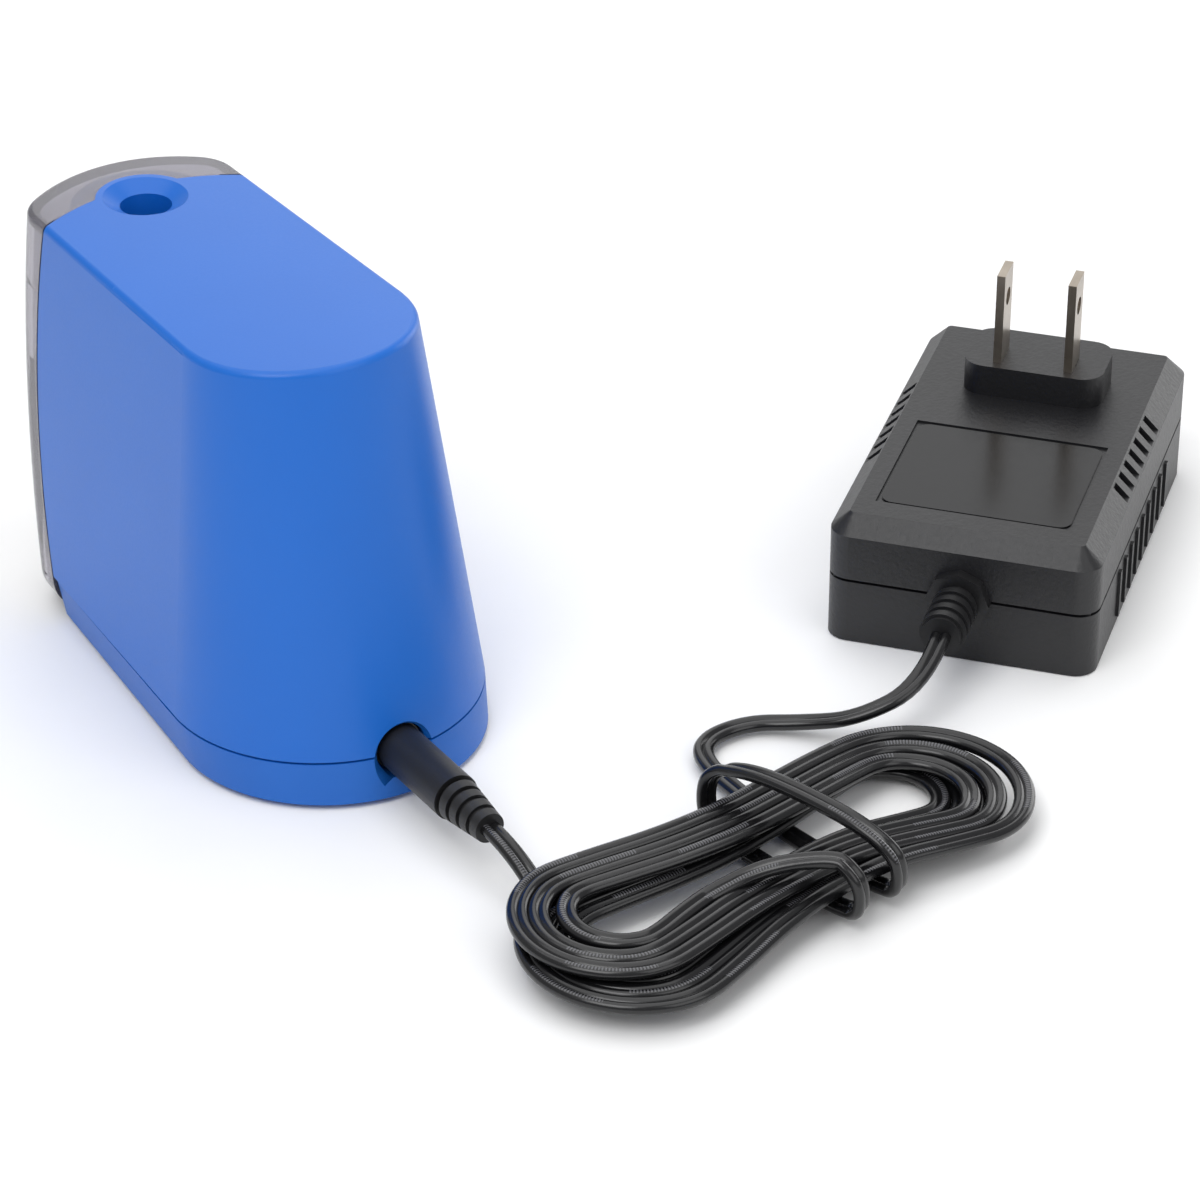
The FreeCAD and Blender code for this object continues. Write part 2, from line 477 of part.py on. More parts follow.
# Gear cover: the upper plate, which carries the cutter's journal bush and the idler pin.
bush_radius = "journal_radius + journal_play + bush_wall"
cover = fuse("cover_form",
             box("cover_rear", "-plate_half_x", "plate_front_y", "cover_low_z", "2 * plate_half_x",
                 "plate_rear_y - plate_front_y", "cover_thick"),
             cylinder("cover_nose", "0", "pencil_y", "cover_low_z", "hood_radius - hood_wall - fit_gap",
                      "cover_thick"))
cover_ways = [cylinder("cover_way_" + tag, x, y, "cover_low_z - 1", "screw_radius + 0.1", "20")
              for tag, x, y in STANDOFFS]
finish("gear_cover", cut("cover_cut", cover, *cover_ways,
                         cylinder("bush_seat", "0", "pencil_y", "cover_low_z - 1", bush_radius, "20"),
                         cylinder("idler_gate", "0", idler_y, "cover_low_z - 1", "idler_hub_radius + fit_gap", "20"),
                         cylinder("shaft_gate", "0", motor_y, "cover_low_z - 1", "shaft_radius + fit_gap", "20"),
                         cylinder("lever_pin_seat", "lever_pin_x", "lever_y", "cover_low_z - 1",
                                  "lever_pin_radius", "20")))
finish("carrier_bush", cut("bush_cut", cylinder("bush_form", "0", "pencil_y", "cover_low_z", bush_radius,
                                                "cover_thick"),
                           cylinder("bush_bore", "0", "pencil_y", "cover_low_z - 1",
                                    "journal_radius + journal_play", "20")))

# Bulkhead: the wall behind the cutter, with the shelf that carries the cutter's lower pivot.
bulkhead_wall = common("bulkhead_wall", fit_form,
                       box("bulkhead_form", "-40", "bulkhead_y", "base_z + floor_thick", "80", "bulkhead_thick",
                           "plate_low_z - base_z - floor_thick"))
tub_clear = tub_form("tub_clear", "base_z + floor_thick - 1", "parting_z + 2.5", "wall + fit_gap")
low_zone = box("bulkhead_low_zone", "-40", "-60", "0", "80", "100", "parting_z + parting_gap / 2")
bulkhead_low = cut("bulkhead_low", common("bulkhead_foot", bulkhead_wall, low_zone), tub_clear)
shelf = fuse("shelf_form",
             box("shelf_arm", "-shelf_radius", "pencil_y", "shelf_z", "2 * shelf_radius",
                 "bulkhead_y - pencil_y + 0.5", "shelf_thick"),
             cylinder("shelf_end", "0", "pencil_y", "shelf_z", "shelf_radius", "shelf_thick"))
finish("bulkhead", cut("bulkhead_cut", fuse("bulkhead_block", bulkhead_wall, shelf), bulkhead_low,
                       cylinder("pivot_seat", "0", "pencil_y", "shelf_z - 1", "pivot_radius + journal_play", "9")))


# Involute gears.  A tooth space of one gear faces a tooth of its mate at rest.
PRESSURE = math.radians(20)


def involute(angle):
    return math.tan(angle) - angle


def gear_wire(teeth, module, first, play, tip=1.0, root=1.2, z=0.0, scale=1.0):
    """A spur gear's outline with one tooth centred on the direction first, in degrees."""
    pitch = teeth * module / 2
    base_circle = pitch * math.cos(PRESSURE)
    radii = [pitch - root * module, max(base_circle, pitch - 0.6 * module), pitch, pitch + tip * module]
    points = []
    for tooth in range(int(teeth)):
        centre = math.radians(first) + 2 * math.pi * tooth / teeth
        flank = []
        for radius in radii:
            reach = math.acos(min(1.0, base_circle / max(radius, base_circle)))
            half = math.pi / (2 * teeth) - play / (2 * pitch) + involute(PRESSURE) - involute(reach)
            flank.append((radius, half))
        for side, order in ((-1, flank), (1, flank[::-1])):
            for radius, half in order:
                turn = centre + side * half
                points.append(Point(scale * radius * math.cos(turn), scale * radius * math.sin(turn), z))
    return Part.makePolygon(points + points[:1])


def spur(teeth, module, first, low, face, bore):
    blank = Part.Face(gear_wire(teeth, module, first, size("backlash"))).extrude(Point(0, 0, face))
    if bore:
        blank = blank.cut(Part.makeCylinder(bore, face + 2, Point(0, 0, -1)))
    blank.translate(Point(0, 0, low))
    return blank


PENCIL = Point(0, size("pencil_y"), 0)
IDLER_Y = size("pencil_y") + size("drive_module") * (size("drive_teeth") + size("idler_small_teeth")) / 2
MOTOR_Y = IDLER_Y + size("pinion_module") * (size("idler_big_teeth") + size("pinion_teeth")) / 2
drive_low = size("drive_low_z")
drive = spur(size("drive_teeth"), size("drive_module"), 90, drive_low, size("drive_face"), size("hub_radius"))
drive.translate(PENCIL)
finish("drive_gear", feature("drive_gear_form", drive))

# Idler: a small pinion under the cover and a large wheel above it on one hub.
small = spur(size("idler_small_teeth"), size("drive_module"), -90 + 180 / size("idler_small_teeth"),
             drive_low, size("drive_face"), 0)
big = spur(size("idler_big_teeth"), size("pinion_module"), 90, size("wheel_low_z"), size("wheel_face"), 0)
hub = Part.makeCylinder(size("idler_hub_radius"), size("wheel_low_z") - drive_low - size("drive_face"),
                        Point(0, 0, drive_low + size("drive_face")))
idler = small.fuse([big, hub]).cut(Part.makeCylinder(size("idler_pin_radius") + size("pin_play"), 40,
                                                     Point(0, 0, 40))).removeSplitter()
idler.translate(Point(0, IDLER_Y, 0))
finish("idler_gear", feature("idler_form", idler))
finish("idler_pin", cylinder("idler_pin_form", "0", idler_y, "plate_low_z + plate_thick - 2", "idler_pin_radius",
                             "wheel_low_z + wheel_face + 0.6 - plate_low_z - plate_thick + 2"))

# Motor: a drawn can with a plastic end bell, a long shaft and a pressed pinion.
motor_top = "plate_low_z - motor_gap"
finish("motor_can", cut("can_cut", fuse("can_form",
                                        cylinder("can_body", "0", motor_y, "motor_low_z + bell_high", "motor_radius",
                                                 motor_top + " - motor_low_z - bell_high"),
                                        cylinder("can_boss", "0", motor_y, motor_top, "motor_boss_radius",
                                                 "motor_boss_high")),
                        cylinder("can_bore", "0", motor_y, "motor_low_z", "shaft_radius + pin_play", "60"),
                        *[cylinder("can_tap_" + tag, x, motor_y, "plate_low_z - 3", "motor_screw_radius", "6")
                          for tag, x in (("a", "motor_screw_x"), ("b", "-motor_screw_x"))]))
finish("motor_end_bell", cut("bell_cut", fuse("bell_form",
                                              cylinder("bell_disc", "0", motor_y, "motor_low_z", "motor_radius - 0.6",
                                                       "bell_high"),
                                              box("bell_lug_a", "6", motor_y + " - 1", "motor_low_z - 3", "0.6",
                                                  "2", "3"),
                                              box("bell_lug_b", "-6.6", motor_y + " - 1", "motor_low_z - 3", "0.6",
                                                  "2", "3")),
                             cylinder("bell_bore", "0", motor_y, "motor_low_z - 5", "shaft_radius + pin_play", "30")))
finish("motor_shaft", cylinder("shaft_form", "0", motor_y, "motor_low_z - 1", "shaft_radius",
                               "shaft_top_z - motor_low_z + 1"))
pinion = spur(size("pinion_teeth"), size("pinion_module"), -90 + 180 / size("pinion_teeth"), size("wheel_low_z"),
              size("wheel_face"), size("shaft_radius"))
pinion.translate(Point(0, MOTOR_Y, 0))
finish("motor_pinion", feature("pinion_form", pinion))

# Planetary cutter.  Ring and planet are bevel gears with one apex on the pencil's axis, so
# every section of a tooth is the same outline scaled by its distance from the apex.
TILT = math.radians(size("cone_half_angle"))
APEX_Z = size("tip_z") - size("cutter_radius") / math.sin(TILT)
RATIO = size("ring_teeth") / size("planet_teeth")
PLANET_ANGLE = math.atan2(math.sin(TILT), RATIO - math.cos(TILT))
RING_ANGLE = TILT + PLANET_ANGLE
CUTTER_SIDE = -90.0


def bevel_block(teeth, cone_angle, low, high, first, play, tip, root):
    """A straight bevel gear along +Z from its apex at the origin."""
    wires = []
    for distance in (low, high):
        module = 2 * high * math.tan(cone_angle) / teeth
        wires.append(gear_wire(teeth, module, first, play, tip, root, distance, distance / high))
    return Part.makeLoft(wires, True, True)


ring_low = size("ring_low_z") - APEX_Z
ring_high = size("ring_high_z") - APEX_Z
spaces = bevel_block(size("ring_teeth"), RING_ANGLE, ring_low - 0.5, ring_high + 0.5, CUTTER_SIDE,
                     -size("backlash"), 1.25, 0.8)
spaces.translate(PENCIL + Point(0, 0, APEX_Z))
ring_blank = Part.makeCylinder(size("ring_radius"), ring_high - ring_low, PENCIL + Point(0, 0, size("ring_low_z")))
finish("ring_gear", feature("ring_form", ring_blank.cut(spaces)))

# Helical cutter: a fluted steel roll with the planet gear on its upper end, turning on a pin.
along = (ring_low + ring_high) / 2 / math.cos(TILT)
planet_low, planet_high = along - 1.6, along + 1.6
planet = bevel_block(size("planet_teeth"), PLANET_ANGLE, planet_low, planet_high, 0, size("backlash"), 0.85, 1.1)
flute_wires = []
SECTIONS = 7
for step in range(SECTIONS):
    share = step / (SECTIONS - 1.0)
    height = size("cutter_low") + share * (size("cutter_high") - size("cutter_low"))
    corners = []
    teeth = int(size("cutter_teeth"))
    for tooth in range(teeth):
        for offset, radius in ((0.0, size("cutter_radius")), (0.3, size("cutter_radius") - 0.1),
                               (0.55, size("cutter_radius") - size("tooth_depth"))):
            turn = 2 * math.pi * (tooth + offset) / teeth + math.radians(size("cutter_twist")) * share
            corners.append(Point(radius * math.cos(turn), radius * math.sin(turn), height))
    flute_wires.append(Part.makePolygon(corners + corners[:1]))
roll = Part.makeLoft(flute_wires, True, True)
neck = Part.makeCylinder(1.9, planet_low - size("cutter_high") + 0.4, Point(0, 0, size("cutter_high") - 0.2))
cutter = roll.fuse([neck, planet])
cutter = cutter.cut(Part.makeCylinder(size("pin_radius") + size("pin_play"), 80, Point(0, 0, 0)))


def lean(shape):
    """Tilt a shape made along +Z from the apex into the cutter's place."""
    shape = shape.copy()
    shape.rotate(Point(0, 0, 0), Point(0, 1, 0), math.degrees(TILT))
    shape.rotate(Point(0, 0, 0), AXIS_Z, CUTTER_SIDE)
    shape.translate(PENCIL + Point(0, 0, APEX_Z))
    return shape


finish("helical_cutter", feature("cutter_form", lean(cutter)))
pin_top = (size("flange_z") + size("flange_thick") - APEX_Z) / math.cos(TILT) + 0.3
pin_low = size("cutter_low") - 2.6
pin = lean(Part.makeCylinder(size("pin_radius"), pin_top - pin_low, Point(0, 0, pin_low)))
trim = Part.makeBox(60, 60, 40, PENCIL + Point(-30, -30, size("flange_z") + size("flange_thick")))
finish("cutter_pin", feature("cutter_pin_form", pin.cut(trim)))

# Carrier: the turned cage that holds the cutter against the pencil's cone.
carrier_points = [(0, size("shelf_z") - 0.8), (size("pivot_radius"), size("shelf_z") - 0.8),
                  (size("pivot_radius"), size("shelf_z") + size("shelf_thick") + 0.3),
                  (size("body_low_radius"), size("shelf_z") + size("shelf_thick") + 0.3),
                  (size("body_low_radius"), size("heel_z") + 3), (size("body_top_radius"), size("body_top_z")),
                  (size("neck_radius"), size("body_top_z")), (size("neck_radius"), size("flange_z")),
                  (size("flange_radius"), size("flange_z")),
                  (size("flange_radius"), size("flange_z") + size("flange_thick")),
                  (size("hub_radius"), size("flange_z") + size("flange_thick")),
                  (size("hub_radius"), drive_low + size("drive_face")),
                  (size("journal_radius"), drive_low + size("drive_face")),
                  (size("journal_radius"), size("journal_top_z")), (0, size("journal_top_z"))]
outline = [Point(radius, 0, height) for radius, height in carrier_points]
carrier = Part.Face(Part.makePolygon(outline + outline[:1])).revolve(Point(0, 0, 0), AXIS_Z, 360)
bore = size("throat_radius") + 0.1
play = size("cone_play") / math.sin(TILT)
cone_top = size("tip_z") - play + bore / math.tan(TILT)
pencil_room = Part.makeCone(0, bore, cone_top - size("tip_z") + play, Point(0, 0, size("tip_z") - play))
pencil_room = pencil_room.fuse(Part.makeCylinder(bore, 40, Point(0, 0, cone_top)))
carrier = carrier.cut(pencil_room)
carrier.translate(PENCIL)
slot_low = size("cutter_low") - 0.4
slot = lean(Part.makeCylinder(size("cutter_radius") + size("slot_play"), 40, Point(0, 0, slot_low)))
slot = slot.common(Part.makeBox(60, 60, size("flange_z"), PENCIL + Point(-30, -30, 0)))
carrier = carrier.cut([slot, lean(Part.makeCylinder(size("pin_radius"), pin_top - pin_low, Point(0, 0, pin_low)))])
finish("cutter_carrier", feature("carrier_form", carrier))

# Pencil switch: a lever whose nose reaches into the guide, and a small snap switch behind it.
eye = cylinder("lever_eye", "lever_pin_x", "lever_y", "lever_z", "lever_eye_radius", "lever_thick")
bar = box("lever_bar", "lever_end_x", "lever_y - lever_width / 2", "lever_z", "lever_pin_x - lever_end_x",
          "lever_width", "lever_thick")
nose = box("lever_nose", "-nose_width / 2", "pencil_y + throat_radius - nose_reach", "lever_z", "nose_width",
           "lever_y - pencil_y - throat_radius + nose_reach", "lever_thick")
finish("pencil_switch_lever", cut("lever_cut", fuse("lever_form", eye, bar, nose),
                                  cylinder("lever_eye_bore", "lever_pin_x", "lever_y", "lever_z - 1",
                                           "lever_pin_radius + pin_play", "9")))
finish("lever_pin", cylinder("lever_pin_form", "lever_pin_x", "lever_y", "cover_low_z", "lever_pin_radius",
                             "lever_z + lever_thick + 0.8 - cover_low_z"))
finish("pencil_switch", cut("switch_cut",
                            box("switch_form", "switch_x - switch_width / 2", "switch_y", "cover_low_z + cover_thick",
                                "switch_width", "switch_long", "switch_high"),
                            box("button_well", "switch_x - button_wide / 2 - 0.1", "switch_y - 1", "lever_z - 0.6",
                                "button_wide + 0.2", "4", "button_high + 0.2")))
finish("switch_button", box("button_form", "switch_x - button_wide / 2", "switch_y - button_long", "lever_z - 0.5",
                            "button_wide", "button_long + 0.6", "button_high"))

# DC jack in the rear wall, and the plug of the lead.
finish("dc_jack", fuse("jack_block",
                       cut("jack_cut", cylinder("jack_form", "0", JACK_FRONT, "jack_z", "jack_radius - 0.4", "jack_long",
                                                REARWARD),
                           cylinder("jack_socket", "0", JACK_REAR + " - socket_depth", "jack_z", "socket_radius", "30",
                                    REARWARD)),
                       cylinder("jack_pin", "0", JACK_REAR + " - socket_depth - 1", "jack_z", "socket_pin_radius",
                                "socket_depth - 1", REARWARD),
                       box("jack_foot", "-2.5", JACK_FRONT + " + 1", "base_z + floor_thick", "5", "8",
                           "jack_z - jack_radius + 1.2 - base_z - floor_thick")))
grip = cylinder("plug_grip_form", "0", PLUG_START, "jack_z", "plug_radius", "plug_grip", REARWARD)
tail_long = "plug_ring_count * plug_ring_pitch"
core = cone("plug_core", "0", PLUG_START + " + plug_grip", "jack_z", "plug_radius - 1", "plug_end_radius - 0.4",
            tail_long, REARWARD)
rings = []
for index in range(int(size("plug_ring_count"))):
    rings.append(cone("plug_ring_%d" % index, "0", PLUG_START + " + plug_grip + plug_ring_pitch * (%d + 0.35)" % index,
                      "jack_z", "plug_radius - 0.3 * (%d + 1)" % index, "plug_radius - 0.3 * (%d + 1) - 0.2" % index,
                      "plug_ring_pitch * 0.65", REARWARD))
finish("dc_plug", cut("plug_cut", fuse("plug_form", grip, core, *rings),
                      cylinder("barrel_seat", "0", PLUG_START + " - 1", "jack_z", "barrel_radius", "5", REARWARD)))
finish("dc_plug_barrel", cut("barrel_cut",
                             cylinder("barrel_form", "0", PLUG_START + " - barrel_long", "jack_z", "barrel_radius",
                                      "barrel_long + 4", REARWARD),
                             cylinder("barrel_bore_form", "0", PLUG_START + " - barrel_long - 1", "jack_z",
                                      "barrel_bore", "barrel_long + 1", REARWARD)))

# Wall adapter, made along +X from its own middle and then set on the floor at its yaw.


def set_down(thing):
    """Move a piece made round the adapter's own middle to where the adapter lies."""
    thing.Placement.Rotation = FreeCAD.Rotation(AXIS_Z, size("adapter_yaw"))
    thing.setExpression("Placement.Rotation.Angle", bound("adapter_yaw"))
    return place(thing, "adapter_x", "adapter_y")


def upright(edge):
    return abs(edge.tangentAt(edge.FirstParameter).z) > 0.9


half_long, half_wide = "adapter_long / 2", "adapter_wide / 2"
case = rounded("case_form", box("case_block", "-" + half_long, "-" + half_wide, "0", "adapter_long", "adapter_wide",
                                "adapter_high"), "adapter_corner", upright)
doc.recompute()
bevelled = doc.addObject("Part::Chamfer", "case_bevelled")
bevelled.Base = case
bevelled.Edges = [(index, size("adapter_bevel"), size("adapter_bevel"))
                  for index, edge in enumerate(case.Shape.Edges, 1) if edge.BoundBox.ZMin > size("adapter_high") - 0.1]
room = box("case_room", "-%s + adapter_wall" % half_long, "-%s + adapter_wall" % half_wide, "adapter_wall",
           "adapter_long - 2 * adapter_wall", "adapter_wide - 2 * adapter_wall",
           "adapter_high - 2 * adapter_wall - 1")
notches = []
for index in range(int(size("notch_count"))):
    for tag, side in (("a", "-"), ("b", "")):
        notches.append(box("notch_%s_%d" % (tag, index),
                           "-14 + notch_pitch * %d" % index,
                           side + half_wide + (" - 0.3" if side else " - adapter_bevel + 0.3"),
                           "adapter_high - adapter_bevel + 0.3", "notch_wide", "adapter_bevel", "adapter_bevel"))
plug_boss = rounded("plug_boss_form", box("plug_boss_block", "plug_boss_x - plug_boss_long / 2", "-plug_boss_wide / 2",
                                          "adapter_high - 1", "plug_boss_long", "plug_boss_wide",
                                          "plug_boss_high + 1"), "adapter_corner", upright)
label = box("label_recess", "label_x - label_long / 2", "-label_wide / 2", "adapter_high - label_deep", "label_long",
            "label_wide", "2")
blade_ways = []
blades = []
for tag, side in (("a", "-"), ("b", "")):
    edge_y = "%sblade_pitch / 2 - blade_thick / 2" % side
    blade_ways.append(box("blade_way_" + tag, "blade_x - blade_wide / 2", edge_y,
                          "adapter_high + plug_boss_high - blade_root", "blade_wide", "blade_thick", "20"))
    blank = box("blade_blank_" + tag, "blade_x - blade_wide / 2", edge_y,
                "adapter_high + plug_boss_high - blade_root", "blade_wide", "blade_thick", "blade_long + blade_root")
    hole = cylinder("blade_hole_" + tag, "blade_x", "%sblade_pitch / 2 + 5" % side,
                    "adapter_high + plug_boss_high + blade_hole_up", "blade_hole_radius", "10",
                    FreeCAD.Rotation(Point(1, 0, 0), 90))
    blades.append(cut("blade_" + tag, blank, hole))
above = box("above_parting", "-60", "-60", "adapter_parting + adapter_groove / 2", "120", "120", "60")
below = box("below_case_parting", "-60", "-60", "-1", "120", "120", "1 + adapter_parting - adapter_groove / 2")
relief_way = cylinder("relief_way", "-%s - 5" % half_long, "0", "relief_z", "relief_radius", "12", SIDEWAYS)
upper = cut("upper_cut", fuse("upper_block", common("upper_half", bevelled, above), plug_boss), room, label, relief_way,
            *notches, *blade_ways)
finish("adapter_upper_case", set_down(upper))
ribs = []
for index in range(int(size("rib_count"))):
    for tag, side in (("a", "-"), ("b", "")):
        ribs.append(box("case_rib_%s_%d" % (tag, index), "-20 + rib_pitch * %d" % index,
                        side + half_wide + (" - rib_proud" if side else " - 1"), "1.5", "rib_wide", "1 + rib_proud",
                        "adapter_parting - 3"))
seam_lip = cut("seam_lip", box("seam_lip_form", "-%s + 1.2" % half_long, "-%s + 1.2" % half_wide, "adapter_parting - 3",
                               "adapter_long - 2.4", "adapter_wide - 2.4", "3 + adapter_groove / 2"), room)
lower = cut("lower_cut", fuse("lower_block", common("lower_half", case, below), seam_lip, *ribs), room, relief_way)
finish("adapter_lower_case", set_down(lower))
finish("plug_blades", set_down(fuse("blade_group", *blades)))
relief_parts = [cylinder("relief_core", "-%s - relief_long" % half_long, "0", "relief_z", "relief_radius - relief_ring",
                         "relief_long + 4", SIDEWAYS)]
collar = doc.addObject("Part::Prism", "relief_collar_form")
collar.Polygon = 8
collar.Placement.Rotation = SIDEWAYS
collar.setExpression("Circumradius", bound("relief_collar"))
collar.setExpression("Height", bound("2"))
relief_parts.append(place(collar, "-%s - 2" % half_long, "0", "relief_z"))
for index in range(4):
    relief_parts.append(cylinder("relief_ring_%d" % index, "-%s - 2 - relief_pitch * (%d + 1)" % (half_long, index),
                                 "0", "relief_z", "relief_radius", "relief_pitch * 0.55", SIDEWAYS))
finish("adapter_strain_relief", set_down(fuse("relief_block", *relief_parts)))
finish("adapter_board", set_down(fuse("board_block",
                                      box("board_form", "-%s + 8" % half_long, "-%s + 5" % half_wide, "adapter_wall",
                                          "26", "adapter_wide - 10", "1.6"),
                                      cylinder("board_capacitor", "-%s + 20" % half_long, "6", "adapter_wall + 1",
                                               "5", "12"))))
finish("adapter_transformer", set_down(fuse("transformer_block",
                                            box("transformer_core", "2", "-14", "adapter_wall", "26", "28", "14"),
                                            box("transformer_bobbin", "5", "-17", "adapter_wall + 1", "20", "34",
                                                "11"))))

doc.recompute()

# The lead: flat twin cord, drawn as a round tube of the same section.  Free stretches are
# straight runs joined by tangent arcs; the hank is one tube of nested half turns.
CORD = size("cord_radius")
HANK = FreeCAD.Placement(Point(size("hank_x"), size("hank_y"), 0), FreeCAD.Rotation(AXIS_Z, size("hank_yaw")))


def tube(edges):
    """A round tube on a chain of tangent edges; prints its volume against its length."""
    path = Part.Wire(edges)
    start = path.Edges[0]
    section = Part.Wire(Part.makeCircle(CORD, start.valueAt(start.FirstParameter),
                                        start.tangentAt(start.FirstParameter)))
    solid = path.makePipeShell([section], True, False)
    print("tube length %.1f mm, volume over section times length %.4f"
          % (path.Length, solid.Volume / (math.pi * CORD ** 2 * path.Length)))
    return solid


def runs(points, share):
    """Straight runs with a tangent arc at each inner point."""
    edges = []
    radii = []
    here = points[0]
    for before, corner, after in zip(points, points[1:], points[2:]):
        toward = (before - corner).normalize()
        onward = (after - corner).normalize()
        half = (math.pi - toward.getAngle(onward)) / 2
        back = share * min((corner - before).Length, (after - corner).Length)
        first = corner + toward * back
        last = corner + onward * back
        radius = back / math.tan(half)
        middle = (toward + onward).normalize()
        peak = corner + middle * (radius / math.cos(half) - radius)
        radii.append(radius)
        edges.append(Part.LineSegment(here, first).toShape())
        edges.append(Part.Arc(first, peak, last).toShape())
        here = last
    edges.append(Part.LineSegment(here, points[-1]).toShape())
    print("arc radii", ["%.1f" % radius for radius in radii])
    return edges


def hank_edges():
    """Half turns that spiral out on the lower layer and back in on the upper one."""
    reach = size("hank_half_run")
    inner, step = size("hank_inner"), size("hank_step")
    offsets = [inner, inner + step, inner + step, inner + 2 * step, inner + 2 * step, inner + 3 * step,
               inner + 3 * step]
    offsets = offsets + offsets[-2::-1]
    levels = [size("hank_low_z")] * 7 + [size("hank_low_z") + step] * 6
    edges = []
    for index, offset in enumerate(offsets):
        side = 1 if index % 2 == 0 else -1
        level = levels[index]
        start, stop = Point(side * reach, side * offset, level), Point(-side * reach, side * offset, level)
        if index == 0:
            start.x = reach / 2
        if index == len(offsets) - 1:
            stop.x = reach / 3
        if index == 6:
            stop.z = levels[7]
            centre = (start + stop) * 0.5
            span = abs(stop.x - start.x) / 2
            rise = (stop.z - start.z) / 2
            radius = (span ** 2 + rise ** 2) / (2 * rise)
            sag = radius - math.sqrt(radius ** 2 - span ** 2 / 4)
            edges.append(Part.Arc(start, Point(start.x - side * span / 2, start.y, start.z + sag), centre).toShape())
            edges.append(Part.Arc(centre, Point(stop.x + side * span / 2, stop.y, stop.z - sag), stop).toShape())
        else:
            edges.append(Part.LineSegment(start, stop).toShape())
        if index < len(offsets) - 1:
            after = offsets[index + 1]
            turn = (offset + after) / 2
            middle = Point(stop.x - side * turn, side * (offset - after) / 2, stop.z)
            edges.append(Part.Arc(stop, middle, Point(stop.x, -side * after, stop.z)).toShape())
    return edges


def at_hank(points):
    return [HANK.multVec(Point(*point)) for point in points]


floor_z = CORD + size("cord_rest")
low, top = size("hank_low_z"), size("hank_low_z") + size("hank_step")
hank_shape = tube(hank_edges())
path = Part.Wire(hank_edges())
samples = path.discretize(Distance=2.0)
gaps = [(first - second).Length - 2 * CORD for index, first in enumerate(samples) for second in samples[index + 8:]]
print("hank least gap to itself %.2f mm" % min(gaps))
hank_shape.Placement = HANK
finish("cord_hank", feature("hank_form", hank_shape))
over, under, outside = top + 3.7, floor_z, size("hank_inner") + 3 * size("hank_step") + 3.8
WRAP = at_hank([(size("hank_half_run") / 3, size("hank_inner"), top), (3, size("hank_inner"), top),
                (-2, 14, over), (-4, outside, over), (-5, outside, under), (-7, -outside, under),
                (-8, -outside, over), (-10, outside, over), (-11, outside, under), (-12, -outside - 1, under)])
finish("cord_wrap", feature("wrap_form", tube(runs(WRAP, size("wrap_corner")))))
plug_end = doc.getObject("plug_core").Placement.Base.y + size("plug_ring_count") * size("plug_ring_pitch")
entry = at_hank([(size("hank_half_run") / 2, size("hank_inner"), low)])[0]
entry_run = at_hank([(size("hank_half_run") / 2 + 14, size("hank_inner"), low)])[0]
LEAD = [Point(0, plug_end, size("jack_z")), Point(0, plug_end + 7, size("jack_z")), Point(-0.5, plug_end + 18, floor_z),
        Point(0.5, plug_end + 33, floor_z), entry_run, entry]
finish("cord_lead", feature("lead_form", tube(runs(LEAD, 0.45))))
adapter_at = FreeCAD.Placement(Point(size("adapter_x"), size("adapter_y"), 0),
                               FreeCAD.Rotation(AXIS_Z, size("adapter_yaw")))
relief_end = adapter_at.multVec(Point(-size("adapter_long") / 2 - size("relief_long"), 0, size("relief_z")))
relief_run = adapter_at.multVec(Point(-size("adapter_long") / 2 - size("relief_long") - 12, 0, size("relief_z") - 2.5))
TAIL = [WRAP[-1], Point(-43, 58, floor_z), Point(-60, 57, floor_z), Point(-67, 72, 4), relief_run, relief_end]
finish("cord_tail", feature("tail_form", tube(runs(TAIL, 0.45))))

doc.recompute()
faults = [thing.Name for thing in doc.Objects if "Invalid" in thing.State]
faults += [thing.Label for thing in PIECES if thing.Shape.isNull() or not thing.Shape.isValid()]
if faults:
    raise RuntimeError("unsound: " + ", ".join(faults))
os.makedirs("parts", exist_ok=True)
for thing in PIECES:
    print(thing.Label, round(thing.Shape.Volume), len(thing.Shape.Solids), thing.Shape.optimalBoundingBox())
    thing.Shape.exportStep("parts/%s.step" % thing.Label)
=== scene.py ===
import bmesh
import bpy
import math
from mathutils import Matrix, Vector


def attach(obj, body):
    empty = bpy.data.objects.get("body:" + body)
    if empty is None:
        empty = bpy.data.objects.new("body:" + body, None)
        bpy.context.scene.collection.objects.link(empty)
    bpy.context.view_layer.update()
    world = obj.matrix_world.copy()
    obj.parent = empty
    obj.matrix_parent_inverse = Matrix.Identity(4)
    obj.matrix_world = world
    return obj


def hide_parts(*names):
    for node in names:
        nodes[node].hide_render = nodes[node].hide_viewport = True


# An upright electric pencil sharpener, its coiled lead and its wall adapter.
# Metres, in the model's own frame: the table at z = 0, the receptacle towards -Y.
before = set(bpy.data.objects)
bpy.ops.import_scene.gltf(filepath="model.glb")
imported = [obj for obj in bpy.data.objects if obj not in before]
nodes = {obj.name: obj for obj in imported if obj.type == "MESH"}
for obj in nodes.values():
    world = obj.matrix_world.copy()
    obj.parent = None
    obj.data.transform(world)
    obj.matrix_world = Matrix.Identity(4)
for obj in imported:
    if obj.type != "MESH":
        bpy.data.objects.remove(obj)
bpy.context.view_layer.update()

# Base: the shallow tub that closes the housing from below, injection moulded in blue ABS.
# Four screws from underneath hold it up against the housing's posts.


def linear(code):
    """An sRGB hex colour as linear RGBA."""
    parts = [int(code[place:place + 2], 16) / 255 for place in (0, 2, 4)]
    bright = [part / 12.92 if part <= 0.04045 else ((part + 0.055) / 1.055) ** 2.4 for part in parts]
    return bright + [1.0]


